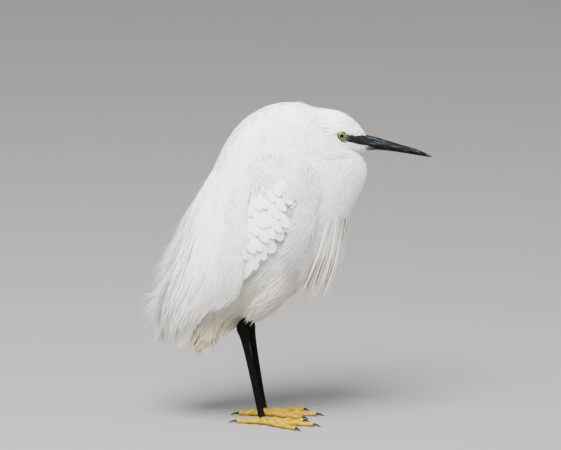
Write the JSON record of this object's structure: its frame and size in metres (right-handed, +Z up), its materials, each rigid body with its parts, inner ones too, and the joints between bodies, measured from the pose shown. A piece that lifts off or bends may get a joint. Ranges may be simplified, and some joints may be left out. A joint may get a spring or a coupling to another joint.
{
  "type": "little egret",
  "caption": "Life-size still model of a little egret, standing hunched with its neck drawn in, white plumage, black bill and legs, yellow feet.",
  "frame": {"origin": "centre of the bounding box at floor level", "axes": "X towards the bill, Y towards the bird's left, Z up"},
  "size_m": [0.317, 0.1236, 0.357],
  "materials": {
    "white_plumage": "soft white feathers, matt",
    "stained_plumage": "white feathers stained a warm buff, matt",
    "bill_horn": "black horn with a blue-grey sheen",
    "claw_horn": "dark claw horn, satin",
    "iris": "pale yellow iris with a black pupil under a clear wet cornea",
    "leg_skin": "black scaled skin, satin",
    "foot_skin": "yellow scaled skin, slightly muddy"
  },
  "bodies": {
    "root": {"bill_lower": "bill_horn", "bill_upper": "bill_horn", "claw_hallux_left": "claw_horn", "claw_hallux_right": "claw_horn", "claw_inner_left": "claw_horn", "claw_inner_right": "claw_horn", "claw_middle_left": "claw_horn", "claw_middle_right": "claw_horn", "claw_outer_left": "claw_horn", "claw_outer_right": "claw_horn", "eye_left": "iris", "eye_right": "iris", "foot_left": "foot_skin", "foot_right": "foot_skin", "head": "white_plumage", "neck": "white_plumage", "shank_left": "leg_skin", "shank_right": "leg_skin", "tail": "stained_plumage", "thigh_left": "white_plumage", "thigh_right": "white_plumage", "toe_hallux_left": "foot_skin", "toe_hallux_right": "foot_skin", "toe_inner_left": "foot_skin", "toe_inner_right": "foot_skin", "toe_middle_left": "foot_skin", "toe_middle_right": "foot_skin", "toe_outer_left": "foot_skin", "toe_outer_right": "foot_skin", "torso": "white_plumage", "wing_left": "white_plumage", "wing_right": "white_plumage"}
  },
  "joints": []
}
